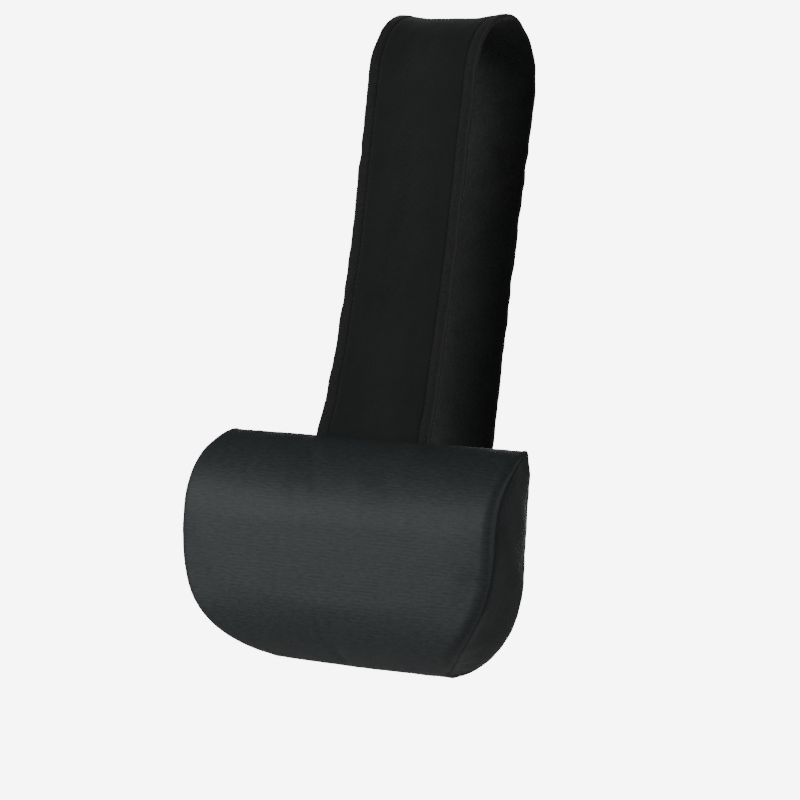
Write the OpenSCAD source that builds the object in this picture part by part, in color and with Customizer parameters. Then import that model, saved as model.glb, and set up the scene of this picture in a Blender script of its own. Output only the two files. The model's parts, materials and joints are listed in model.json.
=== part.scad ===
// Lumbar cushion on a wide strap, balanced by a weighted pouch behind the chair's back.
// Frame: +X across the chair, -Y towards the sitter, +Z up, in millimetres.
// The origin is the middle of the crest, on the strap's underside, where it sits on the chair.

/* [Strap] */
// Width of the strap
strap_w = 116; // [108:1:124]
// Inside radius of the strap where it bends over the top of the chair's back
saddle_r = 60; // [54:1:66]
// Drop from the crest to the cushion's top seam
front_drop = 415; // [380:1:440]
// Drop from the crest to the top of the weighted pouch
rear_drop = 444; // [420:1:470]
// Thickness of each velour ply
ply_t = 1.2; // [0.8:0.1:1.6]
// Thickness of the interlining between the plies
interlining_t = 1.6; // [1.2:0.1:2.2]
// Width of the turned-in edge of the outer ply
hem_w = 5; // [3:0.5:8]

/* [Cushion] */
// Width of the cushion
cushion_w = 320; // [300:1:340]
// Height of the cushion, from its top seam to its bottom seam
cushion_h = 214; // [200:1:230]
// Greatest depth of the cushion
cushion_d = 79; // [70:1:92]
// Half-width of each rounded bottom corner
corner_rx = 92; // [75:1:100]
// Height of each rounded bottom corner
corner_rz = 126; // [100:1:135]
// Lean of the cushion, its bottom edge towards the chair, in degrees
cushion_tilt = 8; // [2:0.5:9]
// Share of the height over which the face rounds off at the top
top_round = 0.38; // [0.3:0.01:0.45]
// Share of the height at which the face starts to round off to the bottom
low_round = 0.72; // [0.62:0.01:0.8]
// Thickness of the cover fabric
cover_t = 1.2; // [0.8:0.1:1.6]
// Thickness of the foam's liner
liner_t = 0.8; // [0.5:0.1:1]
// Room for the zip and the strap's end between the back panel and the liner
zip_room = 4.6; // [4.6:0.1:6]

/* [Zip] */
// Length of the zip's coils
zip_len = 240; // [200:4:248]
// Height of the zip above the cushion's bottom seam
zip_rise = 46; // [42:1:60]
// Distance between two teeth of one coil
tooth_pitch = 3; // [2.5:0.5:4]

/* [Weighted pouch] */
// Height of the pouch
pouch_h = 136; // [120:1:150]
// Depth of the pouch
pouch_d = 18; // [16:1:24]
// Distance from the pouch's top down to its mouth
mouth_drop = 9; // [6:1:10]
// Height of the mouth
mouth_h = 14; // [10:1:14]
// How far the flap hangs down over the pouch
flap_lap = 48; // [46:1:56]

/* [Hidden] */
$fn = 96;

// Colours of the fabrics and of the hardware
velour = [0.12, 0.13, 0.13];
knit = [0.2, 0.21, 0.21];
backing = [0.16, 0.16, 0.17];
foam = [0.93, 0.88, 0.72];

// Clearance between layers that lie on each other, and at the folds
clear = 0.1;
strap_t = 2 * ply_t + interlining_t;
fold_y = saddle_r + strap_t;
seam_gap = 0.8;

// Steps along the cushion's profile and along each rounded corner
profile_steps = 48;
corner_steps = 28;
// The outline reaches a little past the profile, which alone shapes the bottom edge
outline_over = 1;
// The end panels stop this far from the middle, where the bottom edge is nearly straight
end_from = cushion_w / 2 - corner_rx + 14;
// Length of any tool body that has to reach right across the cushion
reach = 2 * cushion_w;

// Depth of the face as a share of the full depth, at share t of the height below the top seam
function face_share(t) =
    t < top_round ? pow(1 - pow(1 - t / top_round, 2.4), 0.74)
    : t > low_round ? pow(1 - pow((t - low_round) / (1 - low_round), 2), 0.59)
    : 1;

// Side view of the cushion, drawn in by inset everywhere but at its flat back
function profile_points(inset) = [
    for (k = [0 : profile_steps])
        let (t = (1 - cos(180 * k / profile_steps)) / 2)
        [-(cushion_d - inset) * face_share(t), -inset - (cushion_h - 2 * inset) * t]
];

// One bottom corner of the front view, from the side (a = 0) to the bottom edge (a = 90)
function corner_point(inset, a) = [
    cushion_w / 2 - corner_rx + (corner_rx - inset) * cos(a),
    corner_rz - cushion_h - outline_over - (corner_rz - inset) * sin(a)
];

function outline_points(inset) = concat(
    [[inset - cushion_w / 2, cushion_w], [cushion_w / 2 - inset, cushion_w]],
    [for (k = [0 : corner_steps]) corner_point(inset, 90 * k / corner_steps)],
    [for (k = [corner_steps : -1 : 0])
        let (p = corner_point(inset, 90 * k / corner_steps))
        [-p[0], p[1]]]
);

// ---- Strap -------------------------------------------------------------------------------

// Half-ring over the chair's back, between two radii and of one width
module crest_ring(r_in, r_out, width)
    translate([0, 0, -saddle_r])
        rotate([0, 90, 0])
            rotate([0, 0, 90])
                rotate_extrude(angle = 180)
                    translate([r_in, -width / 2])
                        square([r_out - r_in, width]);

// Straight run below the crest; side is -1 in front of the chair and 1 behind it
module strap_run(side, r_in, r_out, from_x, to_x, bottom)
    translate([from_x, side < 0 ? -r_out : r_in, -bottom])
        cube([to_x - from_x, r_out - r_in, bottom - saddle_r - clear]);

r_inner = saddle_r + ply_t;
r_outer = r_inner + interlining_t;
hem_in = strap_w / 2 - hem_w;

module outer_run(side, bottom)
    color(velour) union() {
        strap_run(side, r_outer, fold_y, -strap_w / 2, strap_w / 2, bottom);
        strap_run(side, r_inner, r_outer, -strap_w / 2, -hem_in, bottom);
        strap_run(side, r_inner, r_outer, hem_in, strap_w / 2, bottom);
    }

module interlining_run(side, bottom)
    color(backing)
        strap_run(side, r_inner, r_outer, clear - hem_in, hem_in - clear, bottom);

module inner_run(side, bottom)
    color(velour)
        strap_run(side, saddle_r, r_inner, -strap_w / 2, strap_w / 2, bottom);

module strap_outer_crest()
    color(velour) union() {
        crest_ring(r_outer, fold_y, strap_w);
        for (s = [-1, 1])
            translate([s * (strap_w / 2 - hem_w / 2), 0, 0])
                crest_ring(r_inner, r_outer, hem_w);
    }

module strap_interlining_crest()
    color(backing)
        crest_ring(r_inner, r_outer, 2 * (hem_in - clear));

module strap_inner_crest()
    color(velour)
        crest_ring(saddle_r, r_inner, strap_w);

// ---- Cushion -----------------------------------------------------------------------------

// Places the cushion under its fold line; the cushion lies at y <= 0 and z <= 0
module at_cushion()
    translate([0, -fold_y, -front_drop])
        rotate([cushion_tilt, 0, 0])
            children();

module profile_prism(inset)
    translate([-reach / 2, 0, 0])
        rotate([90, 0, 90])
            linear_extrude(reach)
                polygon(profile_points(inset));

module outline_prism(inset)
    translate([0, cushion_d, 0])
        rotate([90, 0, 0])
            linear_extrude(3 * cushion_d)
                polygon(outline_points(inset));

// Everything at or in front of depth y behind the face
module in_front_of(y)
    translate([-reach / 2, -reach, -reach])
        cube([reach, reach - y, 2 * reach]);

module middle_zone()
    translate([-end_from, -reach, -reach])
        cube([2 * end_from, 2 * reach, 2 * reach]);

module side_zone(side)
    translate([side < 0 ? -reach - end_from : end_from, -reach, -reach])
        cube([reach, 2 * reach, 2 * reach]);

// What lies between the two end panels
module between_ends()
    union() {
        outline_prism(cover_t);
        intersection() {
            outline_prism(0);
            middle_zone();
        }
    }

// Filling of the cushion, drawn in from the face, the outline and the back
module filling(inset, back)
    intersection() {
        profile_prism(inset);
        outline_prism(inset);
        in_front_of(back);
    }

liner_inset = cover_t + clear;
liner_back = cover_t + zip_room;
foam_inset = liner_inset + liner_t + clear;
foam_back = liner_back + liner_t + clear;

module foam_core()
    color(foam)
        at_cushion() filling(foam_inset, foam_back);

module foam_liner()
    color("white")
        at_cushion() difference() {
            filling(liner_inset, liner_back);
            filling(foam_inset - clear, foam_back - clear);
        }

module cover_face_panel()
    color(knit)
        at_cushion() intersection() {
            difference() {
                profile_prism(0);
                profile_prism(cover_t);
            }
            between_ends();
        }

module end_panel(side)
    color(velour)
        at_cushion() intersection() {
            profile_prism(0);
            difference() {
                outline_prism(0);
                outline_prism(cover_t);
            }
            side_zone(side);
        }

zip_z = zip_rise - cushion_h;
slot_h = 8;
slot_over = 4;

module zip_slot()
    translate([-zip_len / 2 - slot_over, -cushion_d, zip_z - slot_h / 2])
        cube([zip_len + 2 * slot_over, 2 * cushion_d, slot_h]);

// Back panel on one side of the zip; side is 1 above it and -1 below it
module back_panel(side)
    color(velour)
        at_cushion() difference() {
            intersection() {
                profile_prism(cover_t);
                between_ends();
                translate([-reach / 2, -cover_t, side > 0 ? zip_z : zip_z - reach])
                    cube([reach, 2 * cover_t, reach]);
            }
            zip_slot();
        }

allowance_from = 4;
allowance_len = 12;

// Strap's end inside the top seam
module strap_end_allowance()
    color(velour)
        at_cushion()
            translate([-strap_w / 2, -cover_t - clear - strap_t, -allowance_from - allowance_len])
                cube([strap_w, strap_t, allowance_len]);

label_w = 36;
label_h = 22;
label_t = 0.5;
label_x = -78;

// Blank care label sewn on under the zip
module care_label()
    color("gainsboro")
        at_cushion()
            translate([label_x, 0, zip_z - slot_h - label_h])
                cube([label_w, label_t, label_h]);

// ---- Zip ---------------------------------------------------------------------------------

tape_t = 0.6;
tape_h = 13;
tape_over = 8;
coil_t = 1.8;
coil_h = 1.4;
tooth_h = 1.9;
tooth_w = 1;
teeth = floor(zip_len / tooth_pitch);

module zip_tape(side)
    color("black")
        at_cushion()
            translate([
                -zip_len / 2 - tape_over,
                -cover_t - tape_t,
                side > 0 ? zip_z + clear : zip_z - clear - tape_h
            ])
                cube([zip_len + 2 * tape_over, tape_t, tape_h]);

// Outline of one row of teeth, which point down; shift moves them along the row
function coil_points(shift) = concat(
    [[zip_len / 2, 1], [zip_len / 2, 1 + coil_h], [-zip_len / 2, 1 + coil_h], [-zip_len / 2, 1]],
    [for (k = [0 : teeth - 1], p = [[0, 0], [0, -1], [1, -1], [1, 0]])
        [-zip_len / 2 + shift + k * tooth_pitch + p[0] * tooth_w, 1 + p[1] * tooth_h]]
);

module coil_row(shift)
    rotate([90, 0, 0])
        linear_extrude(coil_t)
            polygon(coil_points(shift));

module zip_coil_upper()
    color("black")
        at_cushion()
            translate([0, coil_t - cover_t, zip_z])
                coil_row(0.2);

module zip_coil_lower()
    color("black")
        at_cushion()
            translate([0, coil_t - cover_t, zip_z])
                mirror([0, 0, 1])
                    coil_row(0.2 + tooth_pitch / 2);

stop_l = 3;
stop_h = 6;

module zip_stop(side)
    color("silver")
        at_cushion()
            translate([
                side > 0 ? zip_len / 2 : -zip_len / 2 - stop_l,
                -cover_t,
                zip_z - stop_h / 2
            ])
                cube([stop_l, coil_t + clear, stop_h]);

slider_l = 11;
slider_h = 6.8;
slider_t = 1;
flange_t = 0.7;
slider_y = coil_t - cover_t + clear;
slider_x = zip_len / 2 - slider_l / 2 - clear;
bridge_l = 7;
bridge_w = 2;
bridge_h = 2.6;
bridge_hole_l = 5;
bridge_hole_h = 1.7;
pivot_rise = 0.85;
pivot_r = 0.65;

// Places the zip's slider and pull: x along the zip, y out of the slider's face
module at_slider()
    at_cushion()
        translate([slider_x, slider_y, zip_z])
            children();

module zip_slider()
    color("silver")
        at_slider() union() {
            translate([-slider_l / 2, 0, -slider_h / 2])
                cube([slider_l, slider_t, slider_h]);
            for (s = [-1, 1])
                translate([-slider_l / 2, -coil_t + clear, s * (slider_h - flange_t) / 2 - flange_t / 2])
                    cube([slider_l, coil_t, flange_t]);
            difference() {
                translate([-bridge_l / 2, slider_t, -bridge_w / 2])
                    cube([bridge_l, bridge_h, bridge_w]);
                translate([-bridge_hole_l / 2, slider_t, -bridge_w])
                    cube([bridge_hole_l, bridge_hole_h, 2 * bridge_w]);
            }
        }

pull_t = 1.3;
pull_w = 6.4;
pull_l = 26;
pull_arm = 6;
pull_arm_gap = 2.6;
grip_l = 9;
grip_w = 2.4;

// Pull tab: its cross pin passes through the slider's bridge
module zip_pull()
    color("silver")
        at_slider()
            translate([0, slider_t + pivot_rise, 0])
                union() {
                    cylinder(h = pull_w, r = pivot_r, center = true);
                    difference() {
                        translate([-pull_l, -pull_t / 2, -pull_w / 2])
                            cube([pull_l, pull_t, pull_w]);
                        translate([-pull_arm, -pull_t, -pull_arm_gap / 2])
                            cube([2 * pull_arm, 2 * pull_t, pull_arm_gap]);
                        translate([-pull_l + 3, -pull_t, -grip_w / 2])
                            cube([grip_l, 2 * pull_t, grip_w]);
                    }
                }

// ---- Weighted pouch ----------------------------------------------------------------------

// Places the pouch under its fold line; the pouch lies at y >= 0 and z <= 0
module at_pouch()
    translate([0, fold_y, -rear_drop])
        children();

panel_t = 1.2;
flap_t = 1.2;
strip_w = 90;
strip_h = 18;
strip_t = 1.2;
// The flap's sewn top edge, as deep as the two strips
flap_foot = 4;
flap_y = pouch_d + 2 * strip_t + clear;
strip_z = 3 - flap_lap;

module pouch_inner_panel()
    color(velour)
        at_pouch()
            translate([-strap_w / 2, 0, -pouch_h])
                cube([strap_w, panel_t, pouch_h - clear]);

// Tray-shaped outer panel with a mouth across its outer side, under the flap
module pouch_outer_panel()
    color(velour)
        at_pouch() difference() {
            translate([-strap_w / 2, panel_t, -pouch_h])
                cube([strap_w, pouch_d - panel_t, pouch_h - clear]);
            translate([panel_t - strap_w / 2, 0, panel_t - pouch_h])
                cube([strap_w - 2 * panel_t, pouch_d - panel_t, pouch_h - clear - 2 * panel_t]);
            translate([-strip_w / 2, pouch_d / 2, -mouth_drop - mouth_h])
                cube([strip_w, pouch_d, mouth_h]);
        }

bag_gap = 1;
bag_wall = 0.7;
bag_w = strap_w - 2 * (panel_t + bag_gap);
bag_y = panel_t + bag_gap;
bag_d = pouch_d - 2 * (panel_t + bag_gap);
bag_z = panel_t + bag_gap - pouch_h;
bag_h = pouch_h - 2 * (panel_t + bag_gap) - clear;
channels = 3;
channel_pitch = bag_w / channels;

// Chamber k of the bag, drawn in by inset
module shot_chamber(k, inset)
    translate([
        -bag_w / 2 + k * channel_pitch + bag_wall + inset,
        bag_y + bag_wall + inset,
        bag_z + bag_wall + inset
    ])
        cube([
            channel_pitch - 2 * (bag_wall + inset),
            bag_d - 2 * (bag_wall + inset),
            bag_h - 2 * (bag_wall + inset)
        ]);

module shot_bag()
    color("dimgray")
        at_pouch() difference() {
            translate([-bag_w / 2, bag_y, bag_z])
                cube([bag_w, bag_d, bag_h]);
            for (k = [0 : channels - 1])
                shot_chamber(k, 0);
        }

module shot_fill()
    color("slategray")
        at_pouch()
            for (k = [0 : channels - 1])
                shot_chamber(k, clear);

module loop_strip()
    color("black")
        at_pouch()
            translate([-strip_w / 2, pouch_d, strip_z])
                cube([strip_w, strip_t, strip_h]);

module hook_strip()
    color("black")
        at_pouch()
            translate([-strip_w / 2, pouch_d + strip_t + clear, strip_z])
                cube([strip_w, strip_t, strip_h]);

module pouch_flap()
    color(velour)
        at_pouch() union() {
            translate([-strap_w / 2, pouch_d + clear, -flap_foot])
                cube([strap_w, flap_y + flap_t - pouch_d - clear, flap_foot - clear]);
            translate([-strap_w / 2, flap_y, -flap_lap])
                cube([strap_w, flap_t, flap_lap - flap_foot]);
        }

// ---- Nodes -------------------------------------------------------------------------------

front_end = front_drop - seam_gap;
rear_end = rear_drop - clear;

strap_outer_crest();
strap_interlining_crest();
strap_inner_crest();
outer_run(-1, front_end);  // strap_outer_front
interlining_run(-1, front_end);  // strap_interlining_front
inner_run(-1, front_end);  // strap_inner_front
outer_run(1, rear_end);  // strap_outer_rear
interlining_run(1, rear_end);  // strap_interlining_rear
inner_run(1, rear_end);  // strap_inner_rear
foam_core();
foam_liner();
cover_face_panel();
end_panel(-1);  // cover_end_panel_left
end_panel(1);  // cover_end_panel_right
back_panel(1);  // cover_back_panel_upper
back_panel(-1);  // cover_back_panel_lower
strap_end_allowance();
care_label();
zip_tape(1);  // zip_tape_upper
zip_tape(-1);  // zip_tape_lower
zip_coil_upper();
zip_coil_lower();
zip_stop(-1);  // zip_stop_left
zip_stop(1);  // zip_stop_right
zip_slider();
zip_pull();
pouch_inner_panel();
pouch_outer_panel();
shot_bag();
shot_fill();
loop_strip();
pouch_flap();
hook_strip();
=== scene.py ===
import json
import math

import bpy
import numpy as np
from mathutils import Matrix, Vector


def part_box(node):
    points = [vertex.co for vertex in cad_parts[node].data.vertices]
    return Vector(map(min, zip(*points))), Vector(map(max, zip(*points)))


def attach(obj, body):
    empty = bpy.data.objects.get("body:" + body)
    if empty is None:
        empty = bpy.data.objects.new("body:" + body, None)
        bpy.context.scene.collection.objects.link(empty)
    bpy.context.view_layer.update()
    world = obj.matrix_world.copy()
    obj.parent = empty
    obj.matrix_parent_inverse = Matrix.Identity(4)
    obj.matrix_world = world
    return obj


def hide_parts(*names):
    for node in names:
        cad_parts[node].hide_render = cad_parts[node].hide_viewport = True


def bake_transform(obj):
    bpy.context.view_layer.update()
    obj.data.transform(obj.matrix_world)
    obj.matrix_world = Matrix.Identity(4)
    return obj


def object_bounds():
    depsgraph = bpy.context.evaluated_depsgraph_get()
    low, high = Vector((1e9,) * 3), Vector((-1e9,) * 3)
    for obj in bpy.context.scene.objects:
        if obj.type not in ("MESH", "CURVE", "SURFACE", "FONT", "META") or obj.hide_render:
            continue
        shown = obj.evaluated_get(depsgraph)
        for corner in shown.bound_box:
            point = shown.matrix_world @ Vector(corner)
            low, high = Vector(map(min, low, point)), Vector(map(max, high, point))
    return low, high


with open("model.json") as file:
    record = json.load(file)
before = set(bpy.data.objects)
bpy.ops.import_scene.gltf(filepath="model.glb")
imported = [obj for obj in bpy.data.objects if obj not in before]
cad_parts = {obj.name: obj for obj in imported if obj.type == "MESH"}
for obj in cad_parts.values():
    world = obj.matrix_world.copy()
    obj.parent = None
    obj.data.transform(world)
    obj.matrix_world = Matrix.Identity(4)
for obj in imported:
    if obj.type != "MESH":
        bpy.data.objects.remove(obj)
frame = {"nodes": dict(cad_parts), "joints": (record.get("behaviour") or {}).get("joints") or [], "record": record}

CAD_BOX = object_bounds()
MM = 0.001

# ---- Sizes, in millimetres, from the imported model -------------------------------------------

JOINT = {j["name"]: [c / MM for c in j["pos_m"]] for j in frame["joints"] if "pos_m" in j}
BACK_AXIS = next(m for m in frame["record"]["mounts"] if m["name"] == "back_rest")["axis"]
TILT = math.atan2(BACK_AXIS[2], BACK_AXIS[1])
SEAM = np.array(JOINT["cushion_fold"])
POUCH_TOP = np.array(JOINT["weight_fold"])


def cad_box(node):
    """A node's lowest and highest corners, in millimetres."""
    lo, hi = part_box(node)
    return np.array(lo) / MM, np.array(hi) / MM


def from_cushion(p):
    """Points of the cushion's own frame, whose back is y = 0 and top seam z = 0, in the row frame."""
    p = np.asarray(p, float)
    c, s = math.cos(TILT), math.sin(TILT)
    x, y, z = p[..., 0], p[..., 1], p[..., 2]
    return np.stack([x, y * c - z * s, y * s + z * c], -1) + SEAM


def to_cushion(p):
    q = np.asarray(p, float) - SEAM
    c, s = math.cos(TILT), math.sin(TILT)
    x, y, z = q[..., 0], q[..., 1], q[..., 2]
    return np.stack([x, y * c + z * s, -y * s + z * c], -1)


def from_pouch(p):
    """Points of the pouch's own frame, whose chair side is y = 0 and top z = 0, in the row frame."""
    return np.asarray(p, float) + POUCH_TOP


def cushion_box(node):
    """A node's lowest and highest corners in the cushion's own frame."""
    co = np.array([v.co for v in frame["nodes"][node].data.vertices], float) / MM
    q = to_cushion(co)
    return q.min(0), q.max(0)


FACE_LO, FACE_HI = cushion_box("cover_face_panel")
ZIP_LO, ZIP_HI = cushion_box("zip_coil_upper")
CREST_HI = cad_box("strap_inner_crest")[1]
FRONT_HI = cad_box("strap_outer_front")[1]
POUCH_LO, POUCH_HI = cad_box("pouch_outer_panel")
FLAP_LO, FLAP_HI = cad_box("pouch_flap")
HOOK_LO, HOOK_HI = cad_box("hook_strip")
LOOP_LO, LOOP_HI = cad_box("loop_strip")
BAG_LO, BAG_HI = cad_box("shot_bag")

CUSHION_W = FACE_HI[0] - FACE_LO[0]
CUSHION_H = -FACE_LO[2]
CUSHION_D = -FACE_LO[1]
ZIP_Z = ZIP_LO[2]
ZIP_HALF = ZIP_HI[0]
STRAP_HALF = FRONT_HI[0]
SADDLE_R = CREST_HI[1]
FRONT_DROP = -SEAM[2]
REAR_DROP = -POUCH_TOP[2]

# Shape of the cushion, as in the CAD source
CORNER_RX, CORNER_RZ = 92.0, 126.0
BACK_RX, BACK_RZ = 76.0, 100.0
TOP_ROUND, LOW_ROUND = 0.38, 0.70
EDGE_R = 9.0
TOP_CORNER_R = 4.0
COVER_T = 1.1
# How far the filling pushes the sides out, and over what height that starts and ends
PUFF = 3.3
PUFF_STARTS, PUFF_ENDS = 24.0, 52.0

# Distance between two cords of the face's knit, in metres
RIB_PITCH = 0.0031
# The strap's stitched grooves and the beads of its rims, from its middle
GROOVE_AT, BEAD_AT = 46.0, 57.0


def face_depth(t):
    """Depth of the face at share t of the height, in millimetres."""
    t = np.asarray(t, float)
    top = np.clip(1 - t / TOP_ROUND, 0, 1)
    low = np.clip((t - LOW_ROUND) / (1 - LOW_ROUND), 0, 1)
    return CUSHION_D * (1 - top**2.5) ** 0.68 * (1 - low**2.4) ** 0.68


def half_width(z, rx=CORNER_RX, rz=CORNER_RZ):
    """Half the cushion's width at height z, at its side seam; its back edge has tighter corners."""
    z = np.asarray(z, float)
    s = np.clip((rz - CUSHION_H - 1 - z) / rz, 0, 1)
    top = np.clip(1 + z / TOP_CORNER_R, 0, 1)
    return CUSHION_W / 2 - rx + rx * np.sqrt(1 - s**2) - TOP_CORNER_R * (1 - np.sqrt(1 - top**2 * 0.98))


def fullness(z, low):
    """How far the filling pushes the sides out at height z, down to a share low of the height."""
    z = np.asarray(z, float)
    return PUFF * smooth_step(-z / PUFF_STARTS) * smooth_step((CUSHION_H * low + z) / PUFF_ENDS)


def front_half(z):
    return half_width(z) + fullness(z, 0.90)


def back_half(z):
    return half_width(z, BACK_RX, BACK_RZ) + fullness(z, 1.0)


# ---- Noise and smoothing ---------------------------------------------------------------------


def ripples(u, v, size, seed, count=9):
    """Smooth noise of about -1 to 1 over two coordinates, with swells about size across."""
    rng = np.random.default_rng(seed)
    u, v = np.broadcast_arrays(np.asarray(u, float), np.asarray(v, float))
    total = np.zeros(u.shape)
    for _ in range(count):
        a, k = rng.uniform(0, 2 * math.pi), 2 * math.pi / size * rng.uniform(0.5, 1.5)
        total += np.sin(k * (u * math.cos(a) + v * math.sin(a)) + rng.uniform(0, 2 * math.pi))
    return total / math.sqrt(count * 1.6)


def smooth_step(x):
    x = np.clip(x, 0, 1)
    return x * x * (3 - 2 * x)


def bell(distance, width):
    """1 at no distance, falling smoothly to nearly 0 at twice the width."""
    return np.exp(-((distance / width) ** 2))


def crowd(share, amount):
    """Shares of 0 to 1 moved towards both ends, or to the middle if amount is below 0."""
    return share - amount * np.sin(2 * math.pi * share) / (2 * math.pi)


def wide(column, count):
    """A column of values repeated in count columns."""
    return np.repeat(column[:, None], count, 1)


def unit(v):
    return v / np.linalg.norm(v, axis=-1, keepdims=True)


def lengths(line):
    """Distance of each point from a line's start, along the line."""
    return np.concatenate([[0], np.cumsum(np.linalg.norm(np.diff(line, axis=0), axis=1))])


def resample(at, s, line):
    """Rows of values known at s, filled in at other places."""
    return np.stack([np.interp(at, s, column) for column in line.T], -1)


def points_of(*grids):
    """The points of one or more grids in one list."""
    return np.concatenate([g.reshape(-1, g.shape[-1]) for g in grids])


def blur(a, passes):
    """Smooths a grid, keeping its edges."""
    for _ in range(passes):
        for axis in (0, 1):
            b = np.moveaxis(a, axis, 0).copy()
            b[1:-1] = (b[:-2] + 2 * b[1:-1] + b[2:]) / 4
            a = np.moveaxis(b, 0, axis)
    return a


def along(p, axis):
    """Distance from a grid's first row or column, along the grid."""
    step = np.linalg.norm(np.diff(p, axis=axis), axis=-1)
    pad = [(0, 0), (0, 0)]
    pad[axis] = (1, 0)
    return np.cumsum(np.pad(step, pad), axis=axis)


def grid_normals(p, flip=False):
    n = np.cross(np.gradient(p, axis=0), np.gradient(p, axis=1))
    n /= np.linalg.norm(n, axis=-1, keepdims=True) + 1e-12
    return -n if flip else n


# ---- Meshes ----------------------------------------------------------------------------------


def signed_volume(verts, faces):
    tri = np.array([(f[0], f[i], f[i + 1]) for f in faces for i in range(1, len(f) - 1)])
    a, b, c = verts[tri[:, 0]], verts[tri[:, 1]], verts[tri[:, 2]]
    return float((a * np.cross(b, c)).sum()) / 6


def new_object(name, data):
    obj = bpy.data.objects.new(name, data)
    bpy.context.scene.collection.objects.link(obj)
    return obj


def make_piece(name, verts, faces, uv, material, sharp=50.0):
    """A mesh object from points in millimetres of the row frame."""
    verts = np.asarray(verts)
    if signed_volume(verts, faces) < 0:
        faces = [f[::-1] for f in faces]
    mesh = bpy.data.meshes.new(name)
    mesh.from_pydata((verts * MM).tolist(), [], [list(map(int, f)) for f in faces])
    layer = mesh.uv_layers.new(name="UVMap")
    loops = np.zeros(len(mesh.loops), np.int32)
    mesh.loops.foreach_get("vertex_index", loops)
    layer.data.foreach_set("uv", (np.asarray(uv)[loops] * MM).astype(np.float32).ravel())
    mesh.polygons.foreach_set("use_smooth", [True] * len(mesh.polygons))
    mesh.set_sharp_from_angle(angle=math.radians(sharp))
    mesh.materials.append(material)
    mesh.validate()
    return new_object(name, mesh)


def corners(ids):
    """The four corners of each cell of a grid."""
    return np.stack([ids[:-1, :-1], ids[1:, :-1], ids[1:, 1:], ids[:-1, 1:]], -1)


def quads_of(rows, cols, keep=None):
    q = corners(np.arange(rows * cols).reshape(rows, cols))
    return q[keep] if keep is not None else q.reshape(-1, 4)


def weld(grid, index, verts, digits):
    """Numbers of a grid's points in verts; a point met before keeps its number."""
    ids = np.zeros(grid.shape[:2], int)
    for at in np.ndindex(*ids.shape):
        key = tuple(np.round(grid[at], digits))
        if key not in index:
            index[key] = len(verts)
            verts.append(grid[at])
        ids[at] = index[key]
    return ids


def two_sided(outer, total):
    """Faces of a closed sheet: the outer quads, the same total points later, and the rim between."""
    edges = {}
    for f in outer:
        for a, b in zip(f, np.roll(f, -1)):
            edges[(int(a), int(b))] = True
    rim = [(b, a, a + total, b + total) for a, b in edges if (b, a) not in edges]
    return [tuple(f) for f in outer] + [tuple(f) for f in outer[:, ::-1] + total] + rim


def sheet_mesh(p, thickness, uv, flip=False, keep=None):
    """Closed sheet below a grid of outer points. Returns points, faces and uv."""
    rows, cols = p.shape[:2]
    outer = quads_of(rows, cols, keep)
    if flip:
        outer = outer[:, ::-1]
    inset = grid_normals(p, flip) * np.broadcast_to(thickness, (rows, cols))[..., None]
    return drop_loose(points_of(p, p - inset), two_sided(outer, rows * cols), points_of(uv, uv))


def drop_loose(verts, faces, uv):
    used = np.zeros(len(verts), bool)
    for f in faces:
        used[list(f)] = True
    new = np.cumsum(used) - 1
    return verts[used], [tuple(new[list(f)]) for f in faces], uv[used]


def join(*parts):
    """Several (points, faces, uv) as one."""
    verts, faces, uv, first = [], [], [], 0
    for v, f, t in parts:
        verts.append(v)
        uv.append(t)
        faces += [tuple(int(i) + first for i in q) for q in f]
        first += len(v)
    return np.concatenate(verts), faces, np.concatenate(uv)


def tube_mesh(sections, uv):
    """Closed solid through rings of equal length: sections is rings x points x 3."""
    rings, count = sections.shape[:2]
    faces = []
    for i in range(rings - 1):
        for k in range(count):
            a, b = i * count + k, i * count + (k + 1) % count
            faces.append((a, b, b + count, a + count))
    faces.append(tuple(range(count - 1, -1, -1)))
    faces.append(tuple((rings - 1) * count + k for k in range(count)))
    return sections.reshape(-1, 3), faces, uv.reshape(-1, 2)


def slab_mesh(lo, hi, radius, step, bulge=0.0, wave=0.0, seed=1):
    """Soft slab: a rounded box of even quads, which may swell and wave. The thin side is y."""
    lo, hi = np.array(lo, float), np.array(hi, float)
    half, centre = (hi - lo) / 2, (hi + lo) / 2
    r = min(radius, half.min() * 0.98)
    counts = np.maximum(2, np.ceil(2 * (half - r) / step)).astype(int)
    arc = 3

    def line(axis):
        core = np.linspace(-(half[axis] - r), half[axis] - r, counts[axis] + 1)
        edge = r * np.tan(np.linspace(0, math.pi / 4, arc + 1))[1:]
        return np.concatenate([core[0] - edge[::-1], core, core[-1] + edge])

    verts, index, faces = [], {}, []
    for axis in range(3):
        a, b = (axis + 1) % 3, (axis + 2) % 3
        la, lb = line(a), line(b)
        for side in (-1, 1):
            grid = np.zeros((len(la), len(lb), 3))
            grid[..., axis], grid[..., a], grid[..., b] = side * half[axis], la[:, None], lb
            faces += [tuple(f[::side]) for f in corners(weld(grid, index, verts, 5)).reshape(-1, 4)]
    v = np.array(verts)
    core = np.clip(v, -(half - r), half - r)
    off = v - core
    length = np.linalg.norm(off, axis=1, keepdims=True)
    v = np.where(length > 1e-9, core + off / np.maximum(length, 1e-9) * r, v)
    share = v / half
    v[:, 1] *= 1 + bulge * np.clip(1 - share[:, 0] ** 2, 0, 1) * np.clip(1 - share[:, 2] ** 2, 0, 1)
    v[:, 1] += wave * ripples(v[:, 0], v[:, 2], 24, seed)
    return v + centre, faces, np.stack([v[:, 0], v[:, 2]], -1)


# ---- Materials -------------------------------------------------------------------------------


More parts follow.
